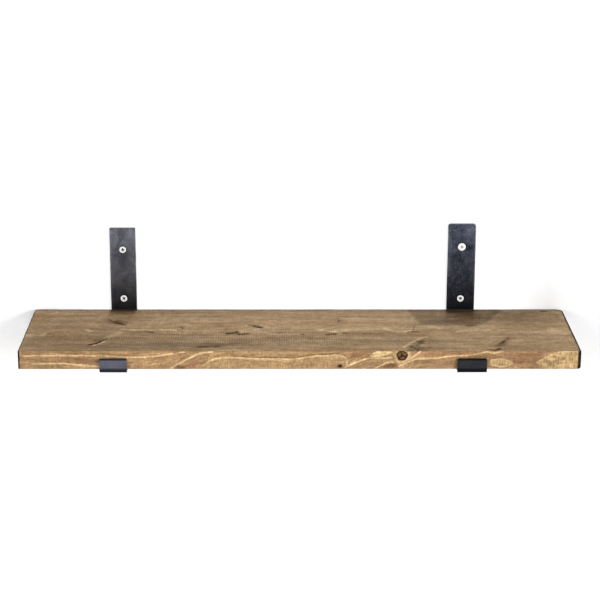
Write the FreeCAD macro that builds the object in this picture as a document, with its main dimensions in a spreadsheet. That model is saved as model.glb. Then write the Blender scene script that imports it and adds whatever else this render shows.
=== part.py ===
import FreeCAD, Part
import os

import Sketcher
from FreeCAD import Placement, Rotation, Vector

# A wall shelf: one solid pine board on two bent flat-steel brackets.
# Frame: +X along the board, +Y into the wall, +Z up. The origin lies on the wall plane,
# midway between the brackets, at the height of the two lower wall screws.

# Driving dimensions, in millimetres: alias, value, meaning.
SIZES = [
    ("bracket_spacing", 510, "centre to centre of the brackets"),
    ("left_overhang", 135, "board beyond the left bracket's centre"),
    ("right_overhang", 155, "board beyond the right bracket's centre"),
    ("board_depth", 200, "board, wall side to front"),
    ("board_thickness", 27, "board"),
    ("board_top_round", 1.5, "eased upper edges"),
    ("board_bottom_round", 2.5, "eased lower edges, clear of the bends"),
    ("back_left_corner", 4.5, "plan radius of the board's corner"),
    ("back_right_corner", 9, "plan radius of the board's corner"),
    ("front_corner", 2, "plan radius of both front corners"),
    ("left_bar_width", 39, "flat bar of the left bracket"),
    ("right_bar_width", 42, "flat bar of the right bracket"),
    ("bar_thickness", 5, "flat bar"),
    ("bar_edge_round", 0.5, "rolled edges of the flat bar"),
    ("bend_radius", 2, "inside radius of both bends"),
    ("lip_height", 21.5, "lip, from the arm's underside"),
    ("lip_gap", 0.5, "between the board's front and the lip"),
    ("screw_height", 44, "lower wall screws above the board's underside"),
    ("left_top", 110, "top of the left upright above the lower screws"),
    ("right_top", 116.5, "top of the right upright above the lower screws"),
    ("left_screw_pitch", 76.5, "between the left bracket's wall screws"),
    ("right_screw_pitch", 81, "between the right bracket's wall screws"),
    ("left_top_corner", 0.8, "corner radius of the left upright's top"),
    ("right_top_corner", 3.5, "corner radius of the right upright's top"),
    ("back_hole_inset", 45, "rear board screw, from the wall"),
    ("front_hole_inset", 165, "front board screw, from the wall"),
    ("head_clearance", 0.1, "between a screw head and its countersink"),
    ("head_rim", 0.4, "straight rim of a countersunk head"),
    ("head_angle", 90, "included angle of heads and countersinks"),
    ("shank_past_bar", 0.3, "plain shank beyond the far side of the bar"),
    ("wall_head", 10, "wall screw head diameter"),
    ("large_head", 11.6, "head diameter of the right upper wall screw"),
    ("wall_hole", 5.5, "clearance hole for a wall screw"),
    ("wall_thread", 5, "wall screw, over the thread"),
    ("wall_shank", 3.7, "wall screw, plain shank"),
    ("wall_length", 50, "wall screw, over all"),
    ("wall_recess_span", 4.8, "cross recess in a wall screw"),
    ("wall_recess_slot", 1.1, "width of the recess's arms"),
    ("board_head", 8, "board screw head diameter"),
    ("board_hole", 4.5, "clearance hole for a board screw"),
    ("board_thread", 4, "board screw, over the thread"),
    ("board_shank", 3, "board screw, plain shank"),
    ("board_length", 20, "board screw, over all"),
    ("board_recess_span", 3.8, "cross recess in a board screw"),
    ("board_recess_slot", 0.9, "width of the recess's arms"),
    ("recess_depth", 1.8, "depth of the cross recesses"),
    ("thread_clearance", 0.05, "around a board screw's thread in the wood"),
    ("drill_run_out", 1, "board hole beyond the screw's tip"),
]

HORIZONTAL_AXIS = -1
VERTICAL_AXIS = -2
START, END = 1, 2
NEAR = 1e-4

doc = FreeCAD.newDocument("WallShelf")
sheet = doc.addObject("Spreadsheet::Sheet", "Sizes")
for row, (alias, value, meaning) in enumerate(SIZES, 1):
    sheet.set(f"A{row}", meaning)
    sheet.set(f"B{row}", str(value))
    sheet.setAlias(f"B{row}", alias)
doc.recompute()


def size(alias):
    return float(getattr(sheet, alias))


def bind(thing, path, expression):
    """Bind one property to the sheet; sheet names in the expression are written as {name}."""
    names = {alias: f"Sizes.{alias}" for alias, _, _ in SIZES}
    thing.setExpression(path, expression.format(**names))


def new_body(name):
    body = doc.addObject("PartDesign::Body", name)
    body.Label = name
    return body


def new_sketch(body, name, role):
    plane = next(f for f in body.Origin.OriginFeatures if f.Role == role)
    sketch = body.newObject("Sketcher::SketchObject", name)
    sketch.AttachmentSupport = (plane, [""])
    sketch.MapMode = "FlatFace"
    return sketch


def closed_outline(sketch, points):
    """Draw straight lines through the points; upright and level ones are constrained so."""
    count = len(points)
    for i, (x, y) in enumerate(points):
        next_x, next_y = points[(i + 1) % count]
        line = sketch.addGeometry(Part.LineSegment(Vector(x, y, 0), Vector(next_x, next_y, 0)))
        if abs(x - next_x) < NEAR:
            sketch.addConstraint(Sketcher.Constraint("Vertical", line))
        elif abs(y - next_y) < NEAR:
            sketch.addConstraint(Sketcher.Constraint("Horizontal", line))
    for i in range(count):
        sketch.addConstraint(Sketcher.Constraint("Coincident", i, END, (i + 1) % count, START))


def constrain(sketch, kind, where, value, expression):
    """Add one dimension, such as DistanceX between two points, and bind it to an expression."""
    number = sketch.addConstraint(Sketcher.Constraint(kind, *where, value))
    bind(sketch, f"Constraints[{number}]", expression)


def circle_at(sketch, x, y, radius, x_expression, y_expression, radius_expression):
    """Draw a circle and dimension its centre from the sketch's origin."""
    circle = sketch.addGeometry(Part.Circle(Vector(x, y, 0), Vector(0, 0, 1), radius))
    centre = (circle, 3)
    if x_expression is None:
        sketch.addConstraint(Sketcher.Constraint("PointOnObject", *centre, VERTICAL_AXIS))
    else:
        constrain(sketch, "DistanceX", (-1, 1, *centre), x, x_expression)
    if y_expression is None:
        sketch.addConstraint(Sketcher.Constraint("PointOnObject", *centre, HORIZONTAL_AXIS))
    else:
        constrain(sketch, "DistanceY", (-1, 1, *centre), y, y_expression)
    constrain(sketch, "Radius", (circle,), radius, radius_expression)


def edges_where(shape, test):
    """Names of the straight edges whose two ends both pass the test."""
    names = []
    for number, edge in enumerate(shape.Edges, 1):
        ends = [vertex.Point for vertex in edge.Vertexes]
        if len(ends) == 2 and all(test(end) for end in ends):
            names.append(f"Edge{number}")
    return names


def round_edges(body, name, test, radius_expression):
    """Fillet the edges of the body's latest feature that pass the test."""
    doc.recompute()
    base = body.Tip
    fillet = body.newObject("PartDesign::Fillet", name)
    fillet.Base = (base, edges_where(base.Shape, test))
    bind(fillet, "Radius", radius_expression)


def drill(body, name, sketch, diameter_expression, countersink=None, depth=None):
    """Drill through, or to a stated depth, at each circle of the sketch."""
    doc.recompute()
    hole = body.newObject("PartDesign::Hole", name)
    hole.Profile = sketch
    hole.ThreadType = "None"
    bind(hole, "Diameter", diameter_expression)
    if depth:
        hole.DepthType = "Dimension"
        bind(hole, "Depth", depth)
        hole.DrillPoint = "Flat"
    else:
        hole.DepthType = "ThroughAll"
    if countersink:
        hole.HoleCutType = "Countersink"
        hole.HoleCutCustomValues = True
        bind(hole, "HoleCutDiameter", countersink)
        bind(hole, "HoleCutCountersinkAngle", "{head_angle}")
    doc.recompute()


def make_board():
    body = new_body("shelf_board")
    left = size("bracket_spacing") / 2 + size("left_overhang")
    right = size("bracket_spacing") / 2 + size("right_overhang")
    back = -size("bar_thickness")
    front = back - size("board_depth")
    thick = size("board_thickness")

    plan = new_sketch(body, "BoardPlan", "XY_Plane")
    closed_outline(plan, [(-left, front), (right, front), (right, back), (-left, back)])
    constrain(plan, "DistanceX", (0, START, -1, 1), left, "{bracket_spacing} / 2 + {left_overhang}")
    constrain(plan, "DistanceX", (-1, 1, 0, END), right, "{bracket_spacing} / 2 + {right_overhang}")
    constrain(plan, "DistanceY", (2, START, -1, 1), -back, "{bar_thickness}")
    constrain(plan, "DistanceY", (1, START, 1, END), size("board_depth"), "{board_depth}")

    board = body.newObject("PartDesign::Pad", "BoardPad")
    board.Profile = plan
    bind(board, "Length", "{board_thickness}")

    def corner(x, y):
        return lambda p: abs(p.x - x) < NEAR and abs(p.y - y) < NEAR

    round_edges(body, "BackLeftCorner", corner(-left, back), "{back_left_corner}")
    round_edges(body, "BackRightCorner", corner(right, back), "{back_right_corner}")
    round_edges(body, "FrontLeftCorner", corner(-left, front), "{front_corner}")
    round_edges(body, "FrontRightCorner", corner(right, front), "{front_corner}")
    round_edges(body, "TopEdges", lambda p: abs(p.z - thick) < NEAR, "{board_top_round}")
    round_edges(body, "BottomEdges", lambda p: abs(p.z) < NEAR, "{board_bottom_round}")

    # Looking up at the underside, the sketch's own up is the object's forward direction.
    holes = new_sketch(body, "BoardHoleCentres", "XY_Plane")
    holes.AttachmentOffset = Placement(Vector(), Rotation(Vector(1, 0, 0), 180))
    for side in (-1, 1):
        for inset in ("back_hole_inset", "front_hole_inset"):
            circle_at(
                holes,
                side * size("bracket_spacing") / 2,
                size(inset),
                size("board_thread") / 2,
                f"{side} * {{bracket_spacing}} / 2",
                f"{{{inset}}}",
                "{board_thread} / 2",
            )
    drill(
        body,
        "BoardHoles",
        holes,
        "{board_thread} + 2 * {thread_clearance}",
        depth="{board_length} - {bar_thickness} + {drill_run_out}",
    )
    bind(body, "Placement.Base.z", "-{screw_height}")
    return body


def make_bracket(name, side):
    """One bracket bent from flat bar: upright, arm and lip; side is -1 on the left, 1 on the right."""
    hand = "left" if side < 0 else "right"
    upper_head = "wall_head" if side < 0 else "large_head"
    body = new_body(name)
    bar = size("bar_thickness")
    top = size(f"{hand}_top")
    arm_top = -size("screw_height")
    arm_bottom = arm_top - bar
    lip_back = -bar - size("board_depth") - size("lip_gap")
    lip_front = lip_back - bar
    lip_top = arm_bottom + size("lip_height")

    # Side view, with square corners: the bends are rounded afterwards.
    side_view = new_sketch(body, f"{name}_side_view", "YZ_Plane")
    closed_outline(
        side_view,
        [
            (0, top),
            (0, arm_bottom),
            (lip_front, arm_bottom),
            (lip_front, lip_top),
            (lip_back, lip_top),
            (lip_back, arm_top),
            (-bar, arm_top),
            (-bar, top),
        ],
    )
    side_view.addConstraint(Sketcher.Constraint("PointOnObject", 0, START, VERTICAL_AXIS))
    constrain(side_view, "DistanceY", (-1, 1, 0, START), top, f"{{{hand}_top}}")
    constrain(side_view, "DistanceX", (7, START, 7, END), bar, "{bar_thickness}")
    constrain(side_view, "DistanceY", (6, START, -1, 1), -arm_top, "{screw_height}")
    constrain(side_view, "DistanceY", (1, START, 6, START), bar, "{bar_thickness}")
    constrain(side_view, "DistanceX", (3, START, 3, END), bar, "{bar_thickness}")
    constrain(side_view, "DistanceY", (2, START, 2, END), size("lip_height"), "{lip_height}")
    span = size("board_depth") + size("lip_gap")
    constrain(side_view, "DistanceX", (5, START, 5, END), span, "{board_depth} + {lip_gap}")

    pad = body.newObject("PartDesign::Pad", f"{name}_pad")
    pad.Profile = side_view
    pad.SideType = "Symmetric"
    bind(pad, "Length", f"{{{hand}_bar_width}}")

    def bend(y, z):
        return lambda p: abs(p.y - y) < NEAR and abs(p.z - z) < NEAR

    outside = "{bend_radius} + {bar_thickness}"
    round_edges(body, f"{name}_heel_outside", bend(0, arm_bottom), outside)
    round_edges(body, f"{name}_toe_outside", bend(lip_front, arm_bottom), outside)
    round_edges(body, f"{name}_heel_inside", bend(-bar, arm_top), "{bend_radius}")
    round_edges(body, f"{name}_toe_inside", bend(lip_back, arm_top), "{bend_radius}")

    def top_corner(p):
        return abs(p.z - top) < NEAR

    def across_top(edge_end):
        return top_corner(edge_end) and edge_end.x * side > 0

    def other_across_top(edge_end):
        return top_corner(edge_end) and edge_end.x * side < 0

    round_edges(body, f"{name}_outer_top_corner", across_top, f"{{{hand}_top_corner}}")
    round_edges(body, f"{name}_inner_top_corner", other_across_top, f"{{{hand}_top_corner}}")

    half_width = size(f"{hand}_bar_width") / 2

    def bar_edge(p):
        return abs(abs(p.x) - half_width) < NEAR

    round_edges(body, f"{name}_rolled_edges", bar_edge, "{bar_edge_round}")

    # Wall screw holes, countersunk from the front of the upright.
    for place, height, head in (
        ("lower", None, "wall_head"),
        ("upper", f"{hand}_screw_pitch", upper_head),
    ):
        wall_holes = new_sketch(body, f"{name}_{place}_hole_centre", "XZ_Plane")
        bind(wall_holes, "AttachmentOffset.Base.z", "{bar_thickness}")
        circle_at(
            wall_holes,
            0,
            size(height) if height else 0,
            size("wall_hole") / 2,
            None,
            f"{{{height}}}" if height else None,
            "{wall_hole} / 2",
        )
        drill(
            body,
            f"{name}_{place}_hole",
            wall_holes,
            "{wall_hole}",
            countersink=f"{{{head}}} + 2 * ({{head_rim}} + {{head_clearance}})",
        )

    # Board screw holes, countersunk from under the arm.
    arm_holes = new_sketch(body, f"{name}_arm_hole_centres", "XY_Plane")
    arm_holes.AttachmentOffset = Placement(Vector(), Rotation(Vector(1, 0, 0), 180))
    bind(arm_holes, "AttachmentOffset.Base.z", "-{screw_height} - {bar_thickness}")
    for inset in ("back_hole_inset", "front_hole_inset"):
        circle_at(
            arm_holes,
            0,
            size(inset),
            size("board_hole") / 2,
            None,
            f"{{{inset}}}",
            "{board_hole} / 2",
        )
    drill(
        body,
        f"{name}_arm_holes",
        arm_holes,
        "{board_hole}",
        countersink="{board_head} + 2 * ({head_rim} + {head_clearance})",
    )
    bind(body, "Placement.Base.x", f"{side} * {{bracket_spacing}} / 2")
    return body


def make_screw(name, kind, head):
    """A countersunk wood screw along its own Z, head at the top, tip at minus its length."""
    body = new_body(name)
    head_radius = size(head) / 2
    shank_radius = size(f"{kind}_shank") / 2
    thread_radius = size(f"{kind}_thread") / 2
    length = size(f"{kind}_length")
    rim = size("head_rim")
    neck = rim + head_radius - shank_radius
    shoulder = size("bar_thickness") + size("shank_past_bar")

    half_section = new_sketch(body, f"{name}_half_section", "XZ_Plane")
    closed_outline(
        half_section,
        [
            (0, 0),
            (head_radius, 0),
            (head_radius, -rim),
            (shank_radius, -neck),
            (shank_radius, -shoulder),
            (thread_radius, -shoulder),
            (thread_radius, thread_radius - length),
            (0, -length),
        ],
    )
    half_section.addConstraint(Sketcher.Constraint("Coincident", 0, START, -1, 1))
    constrain(half_section, "DistanceX", (0, START, 0, END), head_radius, f"{{{head}}} / 2")
    constrain(half_section, "DistanceY", (1, END, 1, START), rim, "{head_rim}")
    shank = f"{{{kind}_shank}} / 2"
    constrain(half_section, "DistanceX", (-1, 1, 3, START), shank_radius, shank)
    drop = f"({{{head}}} - {{{kind}_shank}}) / 2 / tan({{head_angle}} * 1 deg / 2)"
    constrain(half_section, "DistanceY", (2, END, 2, START), neck - rim, drop)
    past_bar = "{bar_thickness} + {shank_past_bar}"
    constrain(half_section, "DistanceY", (3, END, -1, 1), shoulder, past_bar)
    thread = f"{{{kind}_thread}} / 2"
    constrain(half_section, "DistanceX", (-1, 1, 5, START), thread_radius, thread)
    constrain(half_section, "DistanceY", (6, END, 6, START), thread_radius, thread)
    constrain(half_section, "DistanceY", (6, END, -1, 1), length, f"{{{kind}_length}}")

    turned = body.newObject("PartDesign::Revolution", f"{name}_turned")
    turned.Profile = half_section
    turned.ReferenceAxis = (half_section, ["V_Axis"])
    turned.Angle = 360

    # The cross recess: two slots at right angles, cut down from the head.
    for direction in ("along", "across"):
        slot = new_sketch(body, f"{name}_recess_{direction}", "XY_Plane")
        span = size(f"{kind}_recess_span") / 2
        width = size(f"{kind}_recess_slot") / 2
        span_text = f"{{{kind}_recess_span}} / 2"
        width_text = f"{{{kind}_recess_slot}} / 2"
        if direction == "across":
            span, width = width, span
            span_text, width_text = width_text, span_text
        closed_outline(slot, [(-span, -width), (span, -width), (span, width), (-span, width)])
        constrain(slot, "DistanceX", (0, START, -1, 1), span, span_text)
        constrain(slot, "DistanceX", (-1, 1, 0, END), span, span_text)
        constrain(slot, "DistanceY", (0, START, -1, 1), width, width_text)
        constrain(slot, "DistanceY", (-1, 1, 2, START), width, width_text)
        cut = body.newObject("PartDesign::Pocket", f"{name}_{direction}_cut")
        cut.Profile = slot
        bind(cut, "Length", "{recess_depth}")
    return body


def make_wall_screw(hand, place):
    """Driven through the upright, tip into the wall, head flush with the bar's front."""
    side = -1 if hand == "left" else 1
    head = "large_head" if (hand, place) == ("right", "upper") else "wall_head"
    body = make_screw(f"wall_screw_{hand}_{place}", "wall", head)
    body.Placement.Rotation = Rotation(Vector(1, 0, 0), 90)
    bind(body, "Placement.Base.x", f"{side} * {{bracket_spacing}} / 2")
    bind(body, "Placement.Base.y", "-{bar_thickness}")
    if place == "upper":
        bind(body, "Placement.Base.z", f"{{{hand}_screw_pitch}}")
    return body


def make_board_screw(hand, place):
    """Driven up through the arm into the board, head flush with the arm's underside."""
    side = -1 if hand == "left" else 1
    body = make_screw(f"board_screw_{hand}_{place}", "board", "board_head")
    body.Placement.Rotation = Rotation(Vector(1, 0, 0), 180)
    bind(body, "Placement.Base.x", f"{side} * {{bracket_spacing}} / 2")
    bind(body, "Placement.Base.y", f"-{{{place}_hole_inset}}")
    bind(body, "Placement.Base.z", "-{screw_height} - {bar_thickness}")
    return body


def check_document():
    """Stop if any object failed or any sub-part has no valid shape."""
    for item in doc.Objects:
        if "Invalid" in item.State or "Error" in item.State:
            raise RuntimeError(f"{item.Label} failed: {item.State}")
    for item in parts:
        if item.Shape.isNull() or not item.Shape.isValid() or item.Shape.Volume <= 0:
            raise RuntimeError(f"{item.Label} has no valid shape")


parts = [make_board(), make_bracket("bracket_left", -1), make_bracket("bracket_right", 1)]
for hand in ("left", "right"):
    parts += [make_wall_screw(hand, place) for place in ("upper", "lower")]
    parts += [make_board_screw(hand, place) for place in ("back", "front")]
doc.recompute()
check_document()

os.makedirs("parts", exist_ok=True)
for item in parts:
    item.Shape.exportStep(f"parts/{item.Label}.step")
    box = item.Shape.BoundBox
    lengths = f"{box.XLength:.1f} x {box.YLength:.1f} x {box.ZLength:.1f} mm"
    print(f"{item.Label}: {item.Shape.Volume:.0f} mm3, {lengths}")
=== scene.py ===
import math

import bmesh
import bpy
import numpy as np
from mathutils import Matrix, Vector


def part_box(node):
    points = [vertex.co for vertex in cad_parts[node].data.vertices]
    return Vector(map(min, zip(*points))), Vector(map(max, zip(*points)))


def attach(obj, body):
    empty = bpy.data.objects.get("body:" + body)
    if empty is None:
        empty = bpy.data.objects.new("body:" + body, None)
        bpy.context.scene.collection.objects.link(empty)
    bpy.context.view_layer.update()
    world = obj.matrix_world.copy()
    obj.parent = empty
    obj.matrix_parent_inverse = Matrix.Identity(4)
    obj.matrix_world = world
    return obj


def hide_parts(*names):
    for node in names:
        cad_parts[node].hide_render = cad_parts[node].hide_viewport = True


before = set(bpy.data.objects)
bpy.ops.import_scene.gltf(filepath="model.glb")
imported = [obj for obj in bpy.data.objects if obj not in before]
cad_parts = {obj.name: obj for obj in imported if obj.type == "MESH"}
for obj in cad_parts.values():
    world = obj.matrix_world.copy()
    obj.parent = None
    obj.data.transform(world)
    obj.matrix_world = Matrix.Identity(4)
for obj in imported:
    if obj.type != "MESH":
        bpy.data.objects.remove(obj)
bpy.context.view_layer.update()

# Lengths are in metres, except where a comment says millimetres. MM turns millimetres into metres.
MM = 0.001

# The board's place, from the frame, and its length, depth and thickness in millimetres.
BOARD_LOW, BOARD_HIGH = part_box("shelf_board")
BOARD_SIZE = [(high - low) / MM for low, high in zip(BOARD_LOW, BOARD_HIGH)]
# The rounding of its upright corners: side (left -1, right 1), end (front -1, back 1), radius in mm.
BOARD_CORNERS = ((-1, -1, 2.0), (1, -1, 2.5), (-1, 1, 4.5), (1, 1, 9.0))
EDGE_ROUNDING, END_ROUNDING = 1.3, 1.8

# The steel bar fills the gap between the board and the wall.
BAR_THICKNESS = -BOARD_HIGH.y
BEND_RADIUS = 2 * MM
LIP_HEIGHT = 21.5 * MM
BAR_STEP = 2.2 * MM
TOUCH = 0.001 * MM

# The screws' radii and the rise of their thread, the radii of the holes for them, the gap round
# their heads and the depth of their recesses.
WALL_SCREW = {"thread": 2.45 * MM, "shank": 1.85 * MM, "pitch": 2.4 * MM}
BOARD_SCREW = {"thread": 1.95 * MM, "shank": 1.5 * MM, "pitch": 1.8 * MM}
WALL_HOLE, BOARD_HOLE = 2.75 * MM, 2.25 * MM
HEAD_GAP = 0.45 * MM
RECESS_DEPTH = 2.6 * MM

# The height of the floor, half the width of floor and wall, and the height of the wall's top.
FLOOR_LEVEL, ROOM_HALF, WALL_TOP = -0.85, 12.0, 6.0


# ---- shared tools

def smoothstep(low, high, value):
    """0 below low, 1 above high, smooth between."""
    share = np.clip((value - low) / (high - low), 0, 1)
    return share * share * (3 - 2 * share)


def fade(low, high, value):
    """1 below low, 0 above high, smooth between."""
    return 1 - smoothstep(low, high, value)


def strongest(*layers):
    """The largest value that any layer has at each place."""
    return np.maximum.reduce(layers)


def noise(u, v, seed):
    """Smooth noise between -1 and 1, with bumps about one unit across."""
    cells = 128
    table = np.random.default_rng(seed).uniform(-1, 1, (cells, cells))
    column, row = np.floor(u).astype(int), np.floor(v).astype(int)
    across, up = u - column, v - row
    across = across * across * (3 - 2 * across)
    up = up * up * (3 - 2 * up)

    def corner(i, j):
        return table[(column + i) % cells, (row + j) % cells]

    low = corner(0, 0) * (1 - across) + corner(1, 0) * across
    high = corner(0, 1) * (1 - across) + corner(1, 1) * across
    return low * (1 - up) + high * up


def curve_through(points, steps=8):
    """Points along a smooth curve through the given ones (Catmull-Rom)."""
    places = np.array(points, float)
    padded = np.vstack([2 * places[0] - places[1], places, 2 * places[-1] - places[-2]])
    share = np.linspace(0, 1, steps, endpoint=False)[:, None]
    out = []
    for before, start, end, after in zip(padded, padded[1:], padded[2:], padded[3:]):
        out.append(
            start
            + share * (end - before) / 2
            + share**2 * (before - 2.5 * start + 2 * end - after / 2)
            + share**3 * (1.5 * start - 1.5 * end + (after - before) / 2)
        )
    return np.vstack(out + [places[-1:]])


def distance_to(line, u, v):
    """Distance from each (u, v) to a line of straight pieces."""
    best = np.full(u.shape, np.inf)
    for (u0, v0), (u1, v1) in zip(line, line[1:]):
        run_u, run_v = u1 - u0, v1 - v0
        along = ((u - u0) * run_u + (v - v0) * run_v) / max(run_u**2 + run_v**2, 1e-12)
        along = np.clip(along, 0, 1)
        best = np.minimum(best, np.hypot(u - u0 - along * run_u, v - v0 - along * run_v))
    return best


def stroke(points, width, u, v, soft=0.6):
    """1 on a smooth line of that width, fading to 0 beside it."""
    away = distance_to(curve_through(points), u, v)
    return fade(width / 2 * (1 - soft), width / 2 * (1 + soft), away)


def blob(centre, size, u, v, turn=0, soft=0.5):
    """1 inside an ellipse of half sizes size, turned by turn degrees, fading to 0 at its edge."""
    cos, sin = math.cos(math.radians(turn)), math.sin(math.radians(turn))
    du, dv = u - centre[0], v - centre[1]
    away = np.hypot((du * cos + dv * sin) / size[0], (dv * cos - du * sin) / size[1])
    return fade(1 - soft, 1 + soft, away)


def tube_quads(rows, count):
    """Corners of the quads of a tube made of rows of count vertices each."""
    for row in range(rows - 1):
        for i in range(count):
            j = (i + 1) % count
            yield row * count + i, row * count + j, (row + 1) * count + j, (row + 1) * count + i


def mesh_object(name, vertices, faces):
    mesh = bpy.data.meshes.new(name)
    mesh.from_pydata([tuple(v) for v in vertices], [], [tuple(f) for f in faces])
    mesh.update()
    piece = bpy.data.objects.new(name, mesh)
    bpy.context.scene.collection.objects.link(piece)
    return piece


def paint(piece, values):
    """Store one number per vertex under each name, for the material to read."""
    for name, numbers in values.items():
        layer = piece.data.attributes.new(name, "FLOAT", "POINT")
        layer.data.foreach_set("value", np.asarray(numbers, np.float32))


def smooth(piece, angle):
    """Shade smoothly, but keep edges sharp that turn by more than angle degrees."""
    piece.data.shade_smooth()
    piece.data.set_sharp_from_angle(angle=math.radians(angle))


def fix_normals(piece):
    shape = bmesh.new()
    shape.from_mesh(piece.data)
    bmesh.ops.recalc_face_normals(shape, faces=shape.faces)
    shape.to_mesh(piece.data)
    shape.free()


def settle(piece):
    """Turn the piece's modifiers into its mesh."""
    bpy.context.view_layer.update()
    solid = piece.evaluated_get(bpy.context.evaluated_depsgraph_get())
    mesh = bpy.data.meshes.new_from_object(solid)
    piece.modifiers.clear()
    piece.data = mesh


def cut(piece, cutters):
    """Cut the cutters out of the piece and remove them."""
    for cutter in cutters:
        boolean = piece.modifiers.new("cut", "BOOLEAN")
        boolean.operation = "DIFFERENCE"
        boolean.solver = "EXACT"
        boolean.object = cutter
    settle(piece)
    for cutter in cutters:
        bpy.data.objects.remove(cutter)


class Shader:
    """A node material, built one node per call; inputs are sockets or plain values."""

    def __init__(self, name):
        self.material = bpy.data.materials.new(name)
        self.material.use_nodes = True
        self.tree = self.material.node_tree
        self.tree.nodes.clear()
        self.shift = None

    def node(self, kind, inputs=(), **settings):
        node = self.tree.nodes.new(kind)
        for key, value in settings.items():
            setattr(node, key, value)
        for key, value in dict(inputs).items():
            if isinstance(value, bpy.types.NodeSocket):
                self.tree.links.new(value, node.inputs[key])
            else:
                node.inputs[key].default_value = value
        return node

    def math(self, operation, *values):
        return self.node("ShaderNodeMath", enumerate(values), operation=operation).outputs[0]

    def painted(self, name):
        return self.node("ShaderNodeAttribute", attribute_name=name).outputs["Fac"]

    def place(self, stretch):
        """Object coordinates plus the shader's own shift, scaled by three numbers per metre."""
        place = self.node("ShaderNodeTexCoord").outputs["Object"]
        if self.shift:
            place = self.node("ShaderNodeVectorMath", {0: place, 1: self.shift}).outputs[0]
        return self.node("ShaderNodeMapping", {"Vector": place, "Scale": stretch}).outputs["Vector"]

    def grain(self, stretch, detail, roughness=0.55, distortion=0.0):
        """Noise with that many bumps per metre along each axis."""
        keys = ("Vector", "Scale", "Detail", "Roughness", "Distortion")
        values = (self.place(stretch), 1.0, detail, roughness, distortion)
        return self.node("ShaderNodeTexNoise", zip(keys, values)).outputs["Fac"]

    def spread(self, value, low, high, new_low=0.0, new_high=1.0):
        """Map low..high to new_low..new_high, held at the ends."""
        keys = ("Value", "From Min", "From Max", "To Min", "To Max")
        values = (value, low, high, new_low, new_high)
        return self.node("ShaderNodeMapRange", zip(keys, values)).outputs["Result"]

    def mix(self, share, first, second, blend="MIX"):
        node = self.node("ShaderNodeMix", data_type="RGBA", blend_type=blend)
        for socket, value in zip((node.inputs[0], node.inputs[6], node.inputs[7]), (share, first, second)):
            if isinstance(value, bpy.types.NodeSocket):
                self.tree.links.new(value, socket)
            else:
                socket.default_value = value
        return node.outputs[2]

    def bright(self, colour, factor):
        """The colour times a number."""
        grey = self.node("ShaderNodeCombineColor", {0: factor, 1: factor, 2: factor}).outputs[0]
        return self.mix(1.0, colour, grey, "MULTIPLY")

    def bump(self, height, distance, strength):
        inputs = {"Height": height, "Distance": distance, "Strength": strength}
        return self.node("ShaderNodeBump", inputs).outputs["Normal"]

    def finish(self, **inputs):
        keys = {key.replace("_", " "): value for key, value in inputs.items()}
        surface = self.node("ShaderNodeBsdfPrincipled", keys).outputs["BSDF"]
        self.node("ShaderNodeOutputMaterial", {"Surface": surface})
        return self.material


def tint(red, green, blue):
    """A display colour, 0 to 255 a channel, as the linear colour that shaders use."""
    def linear(value):
        value /= 255
        return value / 12.92 if value <= 0.04045 else ((value + 0.055) / 1.055) ** 2.4

    return (linear(red), linear(green), linear(blue), 1.0)


def put_in_place(piece, slot, *nodes):
    """The piece rides on the shelf's one body and stands for these CAD nodes."""
    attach(piece, "root")
    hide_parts(*nodes)


# ---- camera

# The photograph's view. Angles in degrees: to the right, downward, and about the line of sight.
CAMERA_PLACE = (-0.012, -2.7473, 0.838)
CAMERA_TURN, CAMERA_TILT, CAMERA_ROLL = 0.496, 17.036, 0.141
CAMERA_LENS_MM, CAMERA_SENSOR_MM = 113.5, 36


def make_camera():
    data = bpy.data.cameras.new("camera")
    data.lens = CAMERA_LENS_MM
    data.sensor_width = CAMERA_SENSOR_MM
    camera = bpy.data.objects.new("camera", data)
    right_turn, down_tilt, roll = (math.radians(a) for a in (CAMERA_TURN, CAMERA_TILT, CAMERA_ROLL))
    camera.matrix_world = (
        Matrix.Translation(CAMERA_PLACE)
        @ Matrix.Rotation(-right_turn, 4, "Z")
        @ Matrix.Rotation(math.pi / 2 - down_tilt, 4, "X")
        @ Matrix.Rotation(roll, 4, "Z")
    )
    bpy.context.scene.collection.objects.link(camera)
    bpy.context.scene.camera = camera


# ---- the board

# Marks on the front edge: (millimetres from the left end, millimetres above the underside).
# Pale lines: points, width.
FRONT_PALE_LINES = [
    ([(8, 20), (39, 20.3), (73, 20.6), (115, 20.3), (156, 18), (188, 18.8), (215, 22.6), (236, 25.6)], 1.8),
    ([(20, 8), (65, 8.6), (105, 4.7), (118, 4.2)], 2.0),
    ([(218, 2), (225, 6.5), (235, 12.2), (248, 19.2), (258, 23.5), (276, 26.4)], 2.2),
    ([(465, 3.4), (474, 7.9), (484, 12), (493, 15.2), (503, 16.3), (530, 17)], 2.2),
    ([(507, 1.3), (517, 6.4), (526, 10.6), (533, 10.6)], 1.6),
    ([(554, 13.4), (562, 19.1), (568, 24.2), (571, 26)], 1.8),
    ([
        (542, 4.9), (549, 8.5), (557, 12.1), (567, 15.5), (592, 16.2), (614, 19.4), (642, 21.2),
        (654, 23.4), (666, 26), (675, 24.3), (689, 27),
    ], 2.0),
]
ISLAND_RIM = [
    (256, 0), (263, 7.8), (272, 13.5), (283, 17.1), (306, 18.5), (331, 17.1), (364, 16.3),
    (386, 16), (400, 17.1), (427, 20.9), (456, 21.4), (464, 19.1), (468, 13), (467, 5), (463, 0),
]
LEAF = [(499, 19.5), (508, 26.4), (530, 26.4), (527, 22.9), (514, 19.1), (501, 18.2)]
LENS = [(669, 12), (674, 15), (691, 15.5), (703, 9.5), (691, 3), (675, 5)]
WEDGE = [
    (734, 9.8), (744, 15.5), (758, 22.5), (775, 27.5), (802, 28), (802, -1), (750, -1), (745, 6.4),
]
FRONT_KNOT = (545, 20.3)
FRONT_KNOT_RADIUS = 7.6
SMALL_KNOT = ((457, 4.8), (3.1, 2.5))
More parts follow.
